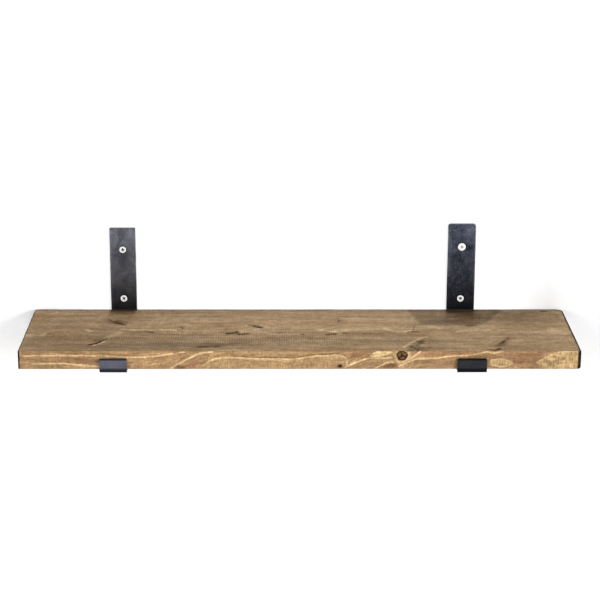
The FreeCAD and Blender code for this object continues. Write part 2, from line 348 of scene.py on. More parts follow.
SMALL_KNOT_SURROUND = ((450, 3), (14, 6))
BROWN_LINE = [(222, 24.4), (228, 23.2), (238, 24)]
# Small dark spots: centre, half sizes, darkness.
FRONT_SPOTS = [((228, 3), (9, 3.2), 0.5), ((530, 5), (7, 3), 0.35)]
# Red-brown wood: centre, half sizes.
FRONT_RED_PATCHES = [
    ((80, 13.5), (34, 5)), ((252, 9), (12, 8)), ((483, 20), (16, 8)), ((526, 4), (12, 4)),
    ((620, 25), (60, 3)), ((640, 12), (34, 8)), ((722, 16), (42, 13)),
]
# Lighter and darker places: centre, half sizes, change.
FRONT_SHADES = [
    ((30, 14), (34, 20), -0.08), ((90, 13), (30, 8), -0.1), ((175, 22), (40, 8), 0.08),
    ((190, 8), (30, 10), 0.04), ((225, 4), (16, 6), -0.12), ((330, 24), (90, 4), 0.05),
    ((480, 10), (20, 18), -0.06), ((520, 14), (24, 14), -0.14), ((600, 8), (50, 9), -0.12),
    ((640, 24), (50, 5), 0.05), ((715, 14), (50, 16), -0.16), ((15, 4), (10, 5), 0.14),
    ((655, 14), (20, 10), -0.08), ((645, 22), (24, 6), -0.14), ((760, 14), (36, 18), -0.06),
]

# How the grain of the front edge runs: height of one fibre (mm) along the board (mm).
FRONT_GRAIN = [
    (0, 0), (40, 0), (115, -4), (156, -5), (205, -2), (236, 6), (276, 20), (300, 22), (400, 21), (465, 24),
    (503, 34), (545, 36), (570, 44), (600, 45), (666, 54), (690, 50), (735, 48), (775, 56), (800, 57),
]

# Marks on the top: (millimetres from the left end, millimetres back from the front edge).
# Pale streaks: points, width, strength.
TOP_PALE_LINES = [
    ([(142, 102), (150, 100), (164, 98.5)], 7, 0.8),
    ([(158, 99), (181, 98.8), (218, 98)], 4.4, 1),
    ([(196, 84), (240, 83), (276, 82), (330, 79), (400, 78)], 2.6, 0.35),
    ([(632, 92), (642, 95), (670, 96.6), (700, 97.5)], 5, 0.6),
    ([(592, 114), (604, 112), (606, 104)], 5, 0.4),
    ([(432, 98), (440, 94), (452, 90)], 6, 0.7),
    ([(450, 99), (490, 100), (530, 108)], 3, 0.4),
    ([(528, 101), (542, 92), (556, 90), (566, 96)], 6, 0.6),
    ([(2, 73), (22, 74)], 9, 0.5),
    ([(27, 75), (32, 82)], 5, 0.7),
    ([(86, 102), (92, 98), (95, 93)], 6, 0.6),
    ([(105, 27), (113, 38), (123, 56)], 4, 1),
    ([(122, 62), (132, 76), (140, 88)], 9, 0.45),
    ([(548, 16), (557, 34), (570, 50), (584, 66)], 4, 0.9),
    ([(572, 14), (580, 36), (586, 56)], 3, 0.4),
    ([(336, 100), (340, 106)], 7, 0.4),
    ([(312, 94), (316, 88)], 4, 0.6),
    ([(668, 32), (682, 56)], 3, 0.3),
    ([(440, 58), (470, 60), (518, 61)], 2.4, 0.4),
    ([(160, 40), (190, 42)], 2.4, 0.3),
    ([(772, 104), (786, 80)], 9, 0.3),
]
# Cracks and torn grain: points, width, depth.
TOP_CRACKS = [
    ([(98, 31), (104, 35), (107, 38)], 6, 1.2),
    ([(107, 38), (112, 44), (116, 51), (121, 57)], 5, 1.4),
    ([(112, 52), (108, 50), (104, 51)], 3, 0.3),
    ([(116, 149), (122, 144), (126, 138)], 4.5, 0.6),
    ([(120, 139), (126, 134), (129, 130)], 3.5, 0.5),
    ([(127, 140), (131, 134), (134, 131)], 6.5, 1),
    ([(134, 131), (137, 127), (142, 124)], 5.5, 1),
    ([(136, 136), (144, 131)], 3, 0.4),
    ([(128, 146), (134, 143)], 3, 0.3),
    ([(440, 76), (445, 79), (451, 80)], 6, 0.8),
    ([(464, 84.5), (478, 85.5)], 4.4, 0.8),
    ([(493, 81), (499, 81)], 3, 0.5),
    ([(503, 81), (509, 81.2)], 3, 0.5),
    ([(514, 81.6), (521, 82)], 3, 0.5),
    ([(401, 77), (406, 77.5)], 4, 0.5),
    ([(245, 85), (256, 85)], 3, 0.3),
    ([(366, 85.8), (379, 86.5)], 3.2, 0.5),
    ([(558, 85), (561, 91)], 4, 0.7),
    ([(565, 92), (573, 90)], 6, 0.8),
    ([(567, 96), (568, 106), (570, 118)], 2, 0.1),
    ([(30, 79), (34, 83), (42, 83)], 4.2, 0.4),
    ([(677, 7), (680, 10), (684, 13)], 7, 1.4),
    ([(667, 8), (674, 10)], 4, 0.4),
    ([(296, 83), (302, 86), (308, 90)], 9, 0.9),
    ([(311, 80), (318, 80), (324, 82)], 7, 0.9),
    ([(327, 123), (334, 119)], 7, 0.4),
    ([(336, 116), (343, 112)], 8.5, 1.2),
    ([(457, 156), (459, 144), (457, 134)], 2.2, 0.1),
    ([(459, 145), (464, 138)], 2.2, 0.1),
    ([(256, 20), (284, 22)], 7, 0.3),
    ([(688, 34), (692, 40), (695, 48)], 6, 0.8),
    ([(697, 52), (703, 62)], 4, 0.4),
    ([(648, 119), (660, 121)], 5, 0.4),
    ([(566, 14), (586, 17)], 3, 0.5),
    ([(553, 4), (560, 3.4)], 5, 0.7),
    ([(559, 22), (564, 16), (568, 6)], 4.5, 0.7),
    ([(571, 36), (575, 44)], 3.4, 0.4),
    ([(768, 191), (774, 189)], 5, 0.9),
    ([(176, 91), (186, 88.5)], 4.4, 0.6),
    ([(226, 112), (229, 106)], 4, 0.4),
]
# Weathered knots and dark patches: centre, half sizes, turn in degrees, darkness.
TOP_KNOTS = [
    ((129, 136), (15, 10), -45, 0.4), ((298, 95), (14, 12), 10, 0.3), ((318, 80), (12, 6), 0, 0.2),
    ((334, 118), (12, 7), -35, 0.3), ((569, 34), (35, 8), 62, 0.42), ((568, 12), (14, 10), 20, 0.4),
    ((692, 38), (33, 7), 62, 0.42), ((668, 8), (12, 5), 0, 0.4), ((654, 118), (8, 7), 0, 0.3),
    ((227, 110), (6, 9), 0, 0.2), ((110, 44), (20, 6), 52, 0.3), ((104, 62), (14, 6), 0, 0.2),
    ((736, 172), (8, 5), 0, 0.3), ((788, 168), (5, 12), 0, 0.25), ((556, 60), (22, 14), 30, 0.14),
]
# Lighter and darker places: centre, half sizes, change.
TOP_SHADES = [
    ((60, 30), (110, 46), -0.12), ((105, 75), (75, 60), -0.08),
    ((75, 180), (20, 20), -0.08), ((225, 125), (70, 50), 0.08), ((340, 120), (190, 40), 0.12),
    ((470, 110), (110, 40), 0.1), ((430, 175), (130, 36), 0.06), ((330, 178), (80, 16), -0.02),
    ((240, 30), (70, 8), -0.22), ((270, 21), (24, 5), -0.16), ((170, 22), (60, 12), -0.08),
    ((530, 60), (50, 26), -0.12), ((470, 55), (60, 26), -0.03), ((725, 165), (56, 34), -0.1),
    ((785, 85), (26, 34), 0.1), ((520, 160), (46, 40), 0.06), ((790, 30), (26, 26), 0.08),
    ((620, 60), (60, 36), 0.04), ((600, 90), (40, 14), 0.08), ((640, 50), (50, 14), -0.05),
    ((750, 30), (40, 8), -0.1), ((740, 44), (50, 12), 0.05), ((580, 25), (30, 30), -0.1),
    ((400, 6), (110, 8), 0.09), ((100, 3), (40, 6), -0.12), ((735, 170), (50, 30), -0.1),
    ((350, 45), (110, 26), 0.04), ((520, 165), (40, 36), -0.04), ((735, 165), (60, 34), -0.13),
    ((168, 88), (30, 5), -0.14), ((600, 160), (24, 36), -0.08), ((180, 112), (44, 8), -0.12),
    ((215, 30), (110, 9), -0.16), ((272, 22), (26, 6), -0.1), ((570, 30), (26, 34), -0.1),
]
# Where the stain turns red-brown: centre, half sizes, strength.
TOP_RED_PATCHES = [
    # The first four patches, at the uprights, are warm painted reflection in the uprights' painted shadow.
    ((135, 186), (22, 22), 0.7), ((135, 160), (16, 40), 0.3), ((648, 175), (22, 22), 0.9),
    ((648, 150), (14, 28), 0.7), ((460, 8), (120, 10), 0.5), ((720, 14), (70, 14), 0.4),
    ((170, 66), (60, 20), 0.3), ((60, 60), (60, 60), 0.25), ((215, 12), (60, 8), 0.4),
    ((268, 21), (22, 5), 0.5), ((300, 50), (60, 24), 0.12), ((690, 60), (40, 30), 0.2),
    ((10, 150), (16, 40), 0.3), ((740, 150), (40, 40), 0.3),
]
# The darker bay in front of the right bracket's upright.
TOP_BAY = [
    (560, 210), (564, 196), (572, 160), (582, 128), (600, 121),
    (640, 119), (670, 126), (690, 160), (700, 210),
]
# Saw marks: centre, half sizes, strength.
TOP_SAWN = [((40, 48), (34, 28), 0.6), ((230, 120), (100, 60), 0.35)]
# The painted shadow and warm painted reflection of each upright on the board in front of it: strength, and
# how far it spreads forward (mm).
UPRIGHT_SHADOWS = {"bracket_left": (1.0, 18), "bracket_right": (1.05, 19)}
# No shade on the top goes below this.
DARKEST = -0.86


def ticks(low, high, step, rounding):
    """Places from low to high, a step apart, and closer together within the rounded edges."""
    flat = high - low - 2 * rounding
    inner = np.linspace(low + rounding, high - rounding, round(flat / step) + 1)
    edge = np.array([0, 0.22, 0.45, 0.7]) * rounding
    return np.concatenate([low + edge, inner, high - edge[::-1]])


def grid_shell(xs, ys, zs):
    """Vertices and quads of a box's surface, divided at the given places."""
    shape = (len(xs), len(ys), len(zs))
    outer = np.zeros(shape, bool)
    outer[[0, -1]] = True
    outer[:, [0, -1]] = True
    outer[:, :, [0, -1]] = True
    index = np.full(shape, -1)
    index[outer] = np.arange(outer.sum())
    i, j, k = np.nonzero(outer)
    vertices = np.stack([xs[i], ys[j], zs[k]], 1)

    def quads(sheet, flip):
        corners = [sheet[:-1, :-1], sheet[1:, :-1], sheet[1:, 1:], sheet[:-1, 1:]]
        faces = np.stack([corner.ravel() for corner in corners], 1)
        return faces[:, ::-1] if flip else faces

    faces = [
        quads(index[:, :, -1], False), quads(index[:, :, 0], True),
        quads(index[:, 0, :], False), quads(index[:, -1, :], True),
        quads(index[-1, :, :], False), quads(index[0, :, :], True),
    ]
    return vertices, np.vstack(faces)


def squeeze(u, v, radius):
    """Map the corner of a square of that side onto a quarter circle of that radius."""
    inside = (u > 0) & (v > 0)
    new_u = np.where(inside, u * np.sqrt(np.maximum(1 - v**2 / (2 * radius**2), 0)), u)
    new_v = np.where(inside, v * np.sqrt(np.maximum(1 - u**2 / (2 * radius**2), 0)), v)
    return new_u, new_v


def round_board(vertices):
    """Round the board's four upright corners, then its long and end edges, in millimetres."""
    x, y, z = (vertices[:, axis].copy() for axis in range(3))
    length, depth, thickness = BOARD_SIZE
    inward = np.minimum(np.minimum(x, length - x), np.minimum(y, depth - y))
    out_x = np.where(inward == x, -1.0, np.where(inward == length - x, 1.0, 0.0))
    out_y = np.where(out_x != 0, 0.0, np.where(inward == y, -1.0, 1.0))
    for side_x, side_y, radius in BOARD_CORNERS:
        centre_x = radius if side_x < 0 else length - radius
        centre_y = radius if side_y < 0 else depth - radius
        u, v = (x - centre_x) * side_x, (y - centre_y) * side_y
        near = (u > 0) & (v > 0)
        new_u, new_v = squeeze(u, v, radius)
        reach = np.maximum(np.hypot(new_u, new_v), 1e-9)
        x = np.where(near, centre_x + side_x * new_u, x)
        y = np.where(near, centre_y + side_y * new_v, y)
        inward = np.where(near, radius - reach, inward)
        out_x = np.where(near, side_x * new_u / reach, out_x)
        out_y = np.where(near, side_y * new_v / reach, out_y)
    wear = 0.35 * noise(x / 21, y / 21, 3) + 0.25 * noise(x / 6, y / 6, 4)
    end_share = smoothstep(length - 5, length - 1, x)
    rounding_above = EDGE_ROUNDING + wear
    for face, rounding in ((1, rounding_above), (-1, rounding_above + END_ROUNDING * end_share)):
        height = z - (thickness - rounding) if face > 0 else rounding - z
        edge = rounding - inward
        new_edge, new_height = squeeze(edge, height, rounding)
        move = new_edge - edge
        x += out_x * move
        y += out_y * move
        z += face * (new_height - height)
    return np.stack([x, y, z], 1), inward


def inside_outline(outline, u, v, edge):
    """1 inside a closed outline, 0 outside, with a soft border of that width."""
    ring = curve_through(outline + outline[:1], 6)
    inside = np.zeros(u.shape, bool)
    for (u0, v0), (u1, v1) in zip(ring, ring[1:]):
        if v0 == v1:
            continue
        crosses = (v0 > v) != (v1 > v)
        inside ^= crosses & (u < (u1 - u0) * (v - v0) / (v1 - v0) + u0)
    away = distance_to(ring, u, v)
    return smoothstep(-edge, edge, np.where(inside, away, -away))


def paint_front(x, z):
    """Wood marks on the front edge: shares of pale, gold, red and dark, brightness, and relief (mm)."""
    level = z + 0.35 * noise(x / 9, z / 3, 21) + 0.25 * noise(x / 3, z / 1.5, 22)
    ragged = 0.78 + 0.3 * noise(x / 6, z / 2.5, 23)
    speckle = 0.75 + 0.35 * noise(x / 2.2, z / 3, 24)
    mottle = smoothstep(-0.3, 0.5, noise(x / 5, z / 3, 26)) * (0.8 + 0.3 * noise(x / 2.2, z / 2, 27))

    # The island, the leaf, and two shapes, the lens and the wedge; their rims are paler.
    island = inside_outline(ISLAND_RIM, x, level, 0.4)
    leaf = inside_outline(LEAF, x, level, 0.5)
    shapes = strongest(inside_outline(LENS, x, level, 0.5), inside_outline(WEDGE, x, level, 0.5))
    island_rim = island * fade(0.9, 3.0, distance_to(curve_through(ISLAND_RIM[1:-1]), x, level))
    outlines = (LENS + LENS[:1], WEDGE[-1:] + WEDGE[:5])
    from_edge = np.minimum(*(distance_to(curve_through(line), x, level) for line in outlines))
    shape_rim = shapes * fade(0.8, 3.2, from_edge)

    lines = [ragged * stroke(points, width, x, level) for points, width in FRONT_PALE_LINES]
    rims = [island_rim * 0.75 * ragged, shape_rim * 0.6 * ragged]
    pale = strongest(*lines, *rims, leaf * speckle, shapes * 0.45 * mottle)
    gold = strongest(island * 0.5 * speckle, shapes * 0.9)
    red = strongest(*(blob(centre, size, x, level, soft=0.7) for centre, size in FRONT_RED_PATCHES))
    red *= (1 - island) * (1 - shapes) * (1 - leaf)

    # The knot: a dark rim round brown heartwood that is split like a star, in a pale halo.
    du, dv = x - FRONT_KNOT[0], (z - FRONT_KNOT[1]) * 1.04
    reach, turn = np.hypot(du, dv), np.arctan2(dv, du)
    edge = FRONT_KNOT_RADIUS * (1 + 0.04 * np.sin(3 * turn + 1) + 0.03 * np.sin(5 * turn))
    knot = fade(edge - 0.4, edge + 0.4, reach)
    ring = smoothstep(edge - 2.6, edge - 1.3, reach) * fade(edge - 0.1, edge + 0.7, reach)
    inner_ring = np.exp(-(((reach - 0.55 * edge) / 0.8) ** 2)) * (0.6 + 0.4 * np.sin(2 * turn + 0.5))
    star = fade(0.14, 0.4, np.abs(np.sin(1.5 * turn + 0.4)) * reach / edge) * knot
    heart = fade(1.4, 3.2, reach)
    halo = smoothstep(edge, edge + 0.8, reach) * fade(edge + 1.5, edge + 6, reach)
    small_knot = blob(*SMALL_KNOT, x, z)
    pale = strongest(pale * (1 - knot), halo * 0.7 * (0.7 + 0.3 * np.sin(turn + 2.6)))
    red = strongest(red * (1 - halo), knot * 0.9, 0.7 * blob(*SMALL_KNOT_SURROUND, x, z, soft=0.8))

    # A thin brown line lies over the island's rim, and another beside a pale line.
    over_rim = distance_to(curve_through(ISLAND_RIM[4:12]), x, level - 1.3)
    brown_lines = 0.5 * fade(0.4, 1.1, over_rim) * (1 - island), 0.55 * stroke(BROWN_LINE, 1.6, x, level)
    spots = [darkness * blob(centre, size, x, level) for centre, size, darkness in FRONT_SPOTS]
    dark = strongest(knot * 0.42, ring, star, heart, inner_ring * 0.85, small_knot, *brown_lines, *spots)
    shade = 0.06 * noise(x / 30, z / 5, 41) + 0.07 * noise(x / 2.6, z / 2.0, 25)
    for centre, size, change in FRONT_SHADES:
        shade += change * blob(centre, size, x, level, soft=0.8)
    relief = -0.5 * small_knot - 0.5 * star - 0.25 * ring
    return pale, gold, red, np.clip(dark, 0, 1), shade, relief


def paint_top(x, y):
    """Wood marks on the top: shares of pale, red and dark, brightness, saw marks, relief (mm)."""
    wobble_x = x + 1.5 * noise(x / 7, y / 4, 31)
    wobble_y = y + 1.6 * noise(x / 9, y / 4, 32) + 1.2 * noise(x / 3, y / 3, 33)
    ragged = 0.85 + 0.35 * noise(x / 8, y / 4, 34)
    pale = np.zeros(x.shape)
    for points, width, strength in TOP_PALE_LINES:
        line = stroke(points, width * 1.25, wobble_x, wobble_y, soft=0.4)
        pale = strongest(pale, strength * ragged * line)

    # Cracks are torn along their sides and break off in places.
    torn_y = y + 1.4 * noise(x / 3, y / 3, 35)
    breaks = np.clip(1.0 + 0.7 * noise(x / 3.5, y / 4, 49), 0, 1)
    dark, relief = np.zeros(x.shape), np.zeros(x.shape)
    for points, width, depth in TOP_CRACKS:
        opening = breaks * stroke(points, width, x, torn_y, soft=0.45)
        dark = strongest(dark, opening * min(0.95, 0.55 + 0.35 * depth))
        relief -= depth * opening
    weathered = 0.75 + 0.7 * noise(x / 4, y / 5, 36) + 0.3 * noise(x / 2, y / 2.5, 39)
    for centre, size, turn, strength in TOP_KNOTS:
        spot = blob(centre, size, wobble_x, wobble_y, turn, soft=0.6)
        dark = strongest(dark, spot * strength * weathered)
    shade = 0.07 * noise(x / 60, y / 14, 37) + 0.07 * noise(x / 22, y / 7, 38) - 0.03
    shade += 0.05 * noise(x / 5, y / 5, 40)
    for centre, size, change in TOP_SHADES:
        shade += change * blob(centre, size, x, y, soft=0.8)
    shade -= 0.35 * inside_outline(TOP_BAY, x, y, 4)
    red = np.zeros(x.shape)
    for centre, size, strength in TOP_RED_PATCHES:
        red = strongest(red, strength * blob(centre, size, wobble_x, y, soft=0.8))

    # Painted shade: along the wall the wood is darker, and most of all in front of the uprights, where
    # their painted shadow and warm reflection lie.
    reach = BOARD_SIZE[1] - y
    shade -= 0.2 * np.exp(-reach / 9)
    for node, (strength, spread) in UPRIGHT_SHADOWS.items():
        low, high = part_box(node)
        centre = ((low.x + high.x) / 2 - BOARD_LOW.x) / MM
        half = (high.x - low.x) / 2 / MM
        across = fade(half * 0.85, half * 1.15, np.abs(x - centre + 0.1 * reach))
        # Painted shadow of the upright, tinted warm as a painted reflection.
        upright_shadow = strength * across * np.exp(-reach / spread)
        shade -= upright_shadow
        red = strongest(red, np.minimum(1.4 * upright_shadow, 1))
    saw = smoothstep(18, 30, y) * fade(84, 92, y) * smoothstep(90, 150, x)
    saw *= fade(450, 550, x)
    saw = strongest(saw, *(strength * blob(centre, size, x, y) for centre, size, strength in TOP_SAWN))
    return pale, red, np.clip(dark, 0, 1), np.maximum(shade, DARKEST), saw, relief


def fibre_path(x, y, on_top):
    """How far the grain has run sideways at each place, in millimetres; it flows round the knots."""
    top = 5 * noise(x / 260, y / 90, 47)
    for centre, size, _, strength in TOP_KNOTS:
        du, dv = (x - centre[0]) / (1.8 * size[0]), (y - centre[1]) / (1.8 * size[1])
        top += 2.2 * strength * size[1] * dv * np.exp(-(du**2) - dv**2)
    front = -np.interp(x, *zip(*FRONT_GRAIN))
    return np.where(on_top > 0.5, top, front)


def make_board():
    """The pine board: its worn shape, its painted marks, and relief that only goes inward."""
    length, depth, thickness = BOARD_SIZE
    places = ticks(0, length, 1.5, 2.6), ticks(0, depth, 1.6, 2.6), ticks(0, thickness, 1.0, 2.4)
    lattice, faces = grid_shell(*places)
    shaped, inward = round_board(lattice)
    x, y, z = shaped.T
    on_top = smoothstep(thickness - 0.9, thickness - 0.25, z) * smoothstep(0.2, 1.2, inward)
    on_front = (lattice[:, 1] == 0) * 1.0
    on_end = np.maximum(lattice[:, 0] == 0, lattice[:, 0] == length) * 1.0

    front_pale, front_gold, front_red, front_dark, front_shade, front_relief = paint_front(x, z)
    top_pale, top_red, top_dark, top_shade, saw, top_relief = paint_top(x, y)
    top_share = on_top * smoothstep(0.4, 1.6, y)
    front_share = fade(0.6, 2.2, y) * (1 - top_share)

    # Black stain on the ends, which creeps round their corners, more at the right than at the left.
    creep = 0.35 * noise(y / 4, z / 4, 42) + 0.12 * noise(y / 1.5, z / 1.5, 48)
    from_left, from_right = x + creep, length - x + creep
    over_front = fade(0, 3, y)
    left_reach, right_reach = 1.3 + 1.2 * over_front, 2.4 + 2.2 * over_front
    stained = fade(left_reach - 0.5, left_reach + 0.6, from_left)
    stained = np.maximum(stained, fade(right_reach - 0.5, right_reach + 0.6, from_right))
    # Painted shade: a dark band along the back edge, where the board meets the wall.
    behind = smoothstep(depth - 4.5, depth - 1.5, y + creep)

    # Relief: grooves of the grain, torn wood, cracks and the knots.
    grooves = -0.05 * (1 + noise(x / 40, y / 1.9, 43)) - 0.12 * (1 + noise(x / 70, y / 17, 44))
    z = z + on_top * (grooves + np.maximum(top_relief, -1.6) * (inward > 2.0))
    y = y + on_front * (0.06 * (1 + noise(x / 30, z / 2, 45)) - front_relief)

    places = np.stack([x, y, z], 1) * MM + np.array(BOARD_LOW)
    board = mesh_object("pine_board", places, faces)
    paint(
        board,
        {
            "top_share": top_share,
            "pale": top_pale * top_share + front_pale * front_share,
            "gold": front_gold * front_share,
            "red": top_red * top_share + front_red * front_share,
            "dark": top_dark * top_share + front_dark * front_share,
            "shade": top_shade * top_share + front_shade * (1 - top_share),
            "saw": saw * top_share,
            "stained": np.maximum(on_end, stained),
            "behind": behind,
            "swerve": fibre_path(x, y, top_share) * MM,
        },
    )
    smooth(board, 50)
    board.data.materials.append(pine_material())
    put_in_place(board, "stained_pine", "shelf_board")


def pine_material():
    shader = Shader("stained_pine")
    swerve = shader.painted("swerve")
    shader.shift = shader.node("ShaderNodeCombineXYZ", {1: swerve, 2: swerve}).outputs[0]
    broad = shader.grain((9, 60, 60), 5, 0.7, 0.6)
    streaks = shader.grain((24, 260, 260), 4, 0.65, 0.5)
    fibres = shader.grain((90, 1500, 1500), 3, 0.6)
    blotches = shader.grain((70, 100, 100), 3, 0.65)
    flecks = shader.grain((620, 110, 110), 2, 0.7)
    grit = shader.grain((330, 140, 330), 3, 0.8)

    # The top's base, pale and dark colours are lighter than the front's, and its base colours greyer:
    # painted sheen on the top face.
    top = shader.mix(shader.spread(broad, 0.32, 0.68), tint(166, 133, 96), tint(206, 176, 137))
    front = shader.mix(shader.spread(streaks, 0.34, 0.66), tint(145, 112, 77), tint(179, 144, 103))
    colour = shader.mix(shader.painted("top_share"), front, top)
    gold = shader.mix(shader.spread(flecks, 0.35, 0.65), tint(150, 119, 77), tint(194, 162, 115))
    colour = shader.mix(shader.painted("gold"), colour, gold)
    red = shader.mix(shader.painted("top_share"), tint(140, 100, 70), tint(154, 104, 48))
    colour = shader.mix(shader.math("MULTIPLY", shader.painted("red"), 0.6), colour, red)
    pale = shader.mix(shader.painted("top_share"), tint(236, 204, 150), tint(246, 216, 166))
    colour = shader.mix(shader.painted("pale"), colour, pale)

    saw_wave = shader.node(
        "ShaderNodeTexWave",
        {"Vector": shader.place((1, 0.4, 1)), "Scale": 92.0, "Distortion": 0.8, "Detail": 2.0},
        bands_direction="X",
    ).outputs["Fac"]
    saw_marks = shader.math("MULTIPLY", shader.painted("saw"), saw_wave)
    grit_share = shader.spread(shader.painted("top_share"), 0, 1, 1.1, 0.7)
    for factor in (
        shader.math("ADD", 1.0, shader.painted("shade")),
        shader.spread(streaks, 0.3, 0.7, 0.87, 1.12),
        shader.spread(fibres, 0.3, 0.7, 0.86, 1.12),
        shader.spread(blotches, 0.3, 0.7, 0.82, 1.17),
        shader.spread(flecks, 0.35, 0.65, 0.93, 1.06),
        shader.math("MULTIPLY_ADD", shader.spread(grit, 0.3, 0.7, -0.3, 0.27), grit_share, 1.0),
        shader.spread(saw_marks, 0, 1, 1.06, 0.82),
    ):
        colour = shader.bright(colour, factor)

    dark = shader.mix(shader.painted("top_share"), tint(44, 31, 19), tint(60, 43, 29))
    colour = shader.mix(shader.painted("dark"), colour, dark)
    # Painted shade along the back edge, where the board meets the wall.
    colour = shader.mix(shader.math("MULTIPLY", shader.painted("behind"), 0.8), colour, tint(84, 68, 60))
    rings = shader.node(
        "ShaderNodeTexWave",
        {"Vector": shader.place((0, 1, 1)), "Scale": 55.0, "Distortion": 1.5, "Detail": 2.0},
        wave_type="RINGS",
        rings_direction="X",
    ).outputs["Fac"]
    end_grain = shader.mix(rings, tint(24, 17, 15), tint(42, 32, 28))
    colour = shader.mix(shader.painted("stained"), colour, end_grain)

    height = shader.math("MULTIPLY_ADD", fibres, 0.6, shader.math("MULTIPLY", streaks, 0.7))
    height = shader.math("MULTIPLY_ADD", grit, 0.3, height)
    height = shader.math("MULTIPLY_ADD", saw_marks, -0.5, height)
    height = shader.math("MULTIPLY_ADD", shader.painted("dark"), -0.6, height)
    return shader.finish(
        Base_Color=colour,
        Roughness=shader.spread(streaks, 0.3, 0.7, 0.85, 0.7),
        Specular_IOR_Level=shader.spread(
            shader.math("MAXIMUM", shader.painted("dark"), shader.painted("stained")), 0, 0.6, 0.25, 0.05
        ),
        Normal=shader.bump(height, 0.3 * MM, 0.8),
    )


# ---- the brackets

def bar_path(low, high):
    """Rows of (y, z, outward y, outward z) along a bent bar's outside face, from top to lip end."""
    radius = BEND_RADIUS + BAR_THICKNESS
    lip_top = low.z + LIP_HEIGHT
    heel, toe = (high.y - radius, low.z + radius), (low.y + radius, low.z + radius)
    end_steps = np.array([0, 0.15, 0.3, 0.6, 1.0, 1.6, 2.4, 3.5]) * MM
    turns = [(math.cos(angle), math.sin(angle)) for angle in np.radians(np.linspace(0, 90, 11))]

    upright, arm, lip = high.z - heel[1], heel[0] - toe[0], lip_top - toe[1]
    upright_steps = np.linspace(0, upright, round(upright / BAR_STEP) + 1)[:-1]
    arm_steps = np.linspace(0, arm, round(arm / BAR_STEP) + 1)[1:-1]
    lip_steps = np.linspace(0, lip, 7)[1:-1]

    rows = [(high.y, high.z - step, 1, 0) for step in end_steps]
    rows += [(high.y, high.z - step, 1, 0) for step in upright_steps if step > end_steps[-1] * 1.2]
    rows += [(heel[0] + radius * cos, heel[1] - radius * sin, cos, -sin) for cos, sin in turns]
    rows += [(heel[0] - step, low.z, 0, -1) for step in arm_steps]
    rows += [(toe[0] - radius * sin, toe[1] - radius * cos, -sin, -cos) for cos, sin in turns]
    rows += [(low.y, toe[1] + step, -1, 0) for step in lip_steps if lip - step > end_steps[-1]]
    rows += [(low.y, lip_top - step, -1, 0) for step in end_steps[::-1]]
    return np.array(rows)


def bar_section(half):
    """A flat bar's section, half wide either side: rows of (across, depth from outside, edge share)."""
    edge = 0.5 * MM
    flat = np.linspace(-1, 1, 23)[1:-1] * (half - 1.5 * edge)
    side, inner = half - edge, BAR_THICKNESS - edge
    corners = ((side, edge, -90), (side, inner, 0), (-side, inner, 90), (-side, edge, 180))
    faces = (
        [(half, BAR_THICKNESS * level, 0.6) for level in (0.35, 0.65)],
        [(-u, BAR_THICKNESS, 0.0) for u in flat],
        [(-half, BAR_THICKNESS * level, 0.6) for level in (0.65, 0.35)],
        [(u, 0.0, 0.0) for u in flat],
    )
    points = []
    for (centre, level, start), face in zip(corners, faces):
        for angle in np.radians(start + np.linspace(0, 90, 4)):
            points.append((centre + edge * math.cos(angle), level + edge * math.sin(angle), 1.0))
        points += face
    return np.array(points)


def bar_tone_and_shading(across, path, low, high, seed):
    """Brightness of the steel: painted shade near the two bends and at the lip's end, painted reflection
    towards the top of the upright, and uneven tone.
    """
    out_y, level = path[:, 0][:, None], path[:, 1][:, None]
    upright = out_y >= high.y - TOUCH
    # Painted shade: darker round the two bends.
    heel = fade(-25 * MM, 55 * MM, level) * (out_y > low.y / 2)
    toe = fade(low.z + 5.5 * MM, low.z + 9.5 * MM, level) * (out_y <= low.y / 2)
    toe = toe * fade(low.y + 12 * MM, low.y + 30 * MM, out_y)
    # The lip's end is darker: its own dark cut end, with painted shade from the gap to the board.
    lip_end = smoothstep(low.z + 19.4 * MM, low.z + 20.6 * MM, level) * (out_y <= low.y / 2)
    # Painted reflection: brighter towards the top of the upright and at one upper corner.
    top_reflection = smoothstep(high.z - 50 * MM, high.z - 5 * MM, level) * upright
    corner = np.exp(-(((across - 13 * MM) / (6 * MM)) ** 2 + ((high.z - level - 6 * MM) / (7 * MM)) ** 2))
    streak = np.exp(-(((across + 17.5 * MM) / (1.5 * MM)) ** 2)) * upright
    cloud = noise(across / (11 * MM) + 5, level / (13 * MM), seed + 3)
    tone_and_shading = 1 + 0.3 * top_reflection + 0.5 * corner * upright + 0.35 * streak + 0.16 * cloud
    return tone_and_shading * (1 - 0.85 * heel) * (1 - 0.84 * toe) * (1 - 0.85 * lip_end)


def bar_marks(path, section, x, walked, from_top, low, high, seed):
    """What the steel's material reads: the lip, worn edges, the cut end at the top, and brightness with
    painted shade and reflection.
    """
    across, edge_share = x - (low.x + high.x) / 2, section[:, 2][None, :]
    lip_length = 24 * MM
    along_lip = (walked - (walked[-1] - lip_length))[:, None]
    upright = (path[:, 0] >= high.y - TOUCH)[:, None]
    marks = {
        "lip": smoothstep(0, 4 * MM, along_lip),
        "worn": edge_share * fade(-8 * MM, 0, along_lip),
        "cut_end": fade(0.0, 0.5 * MM, from_top[:, None]) * upright,
        "tone_and_shading": bar_tone_and_shading(across, path, low, high, seed),
    }
    return {name: np.broadcast_to(values, x.shape).ravel() for name, values in marks.items()}


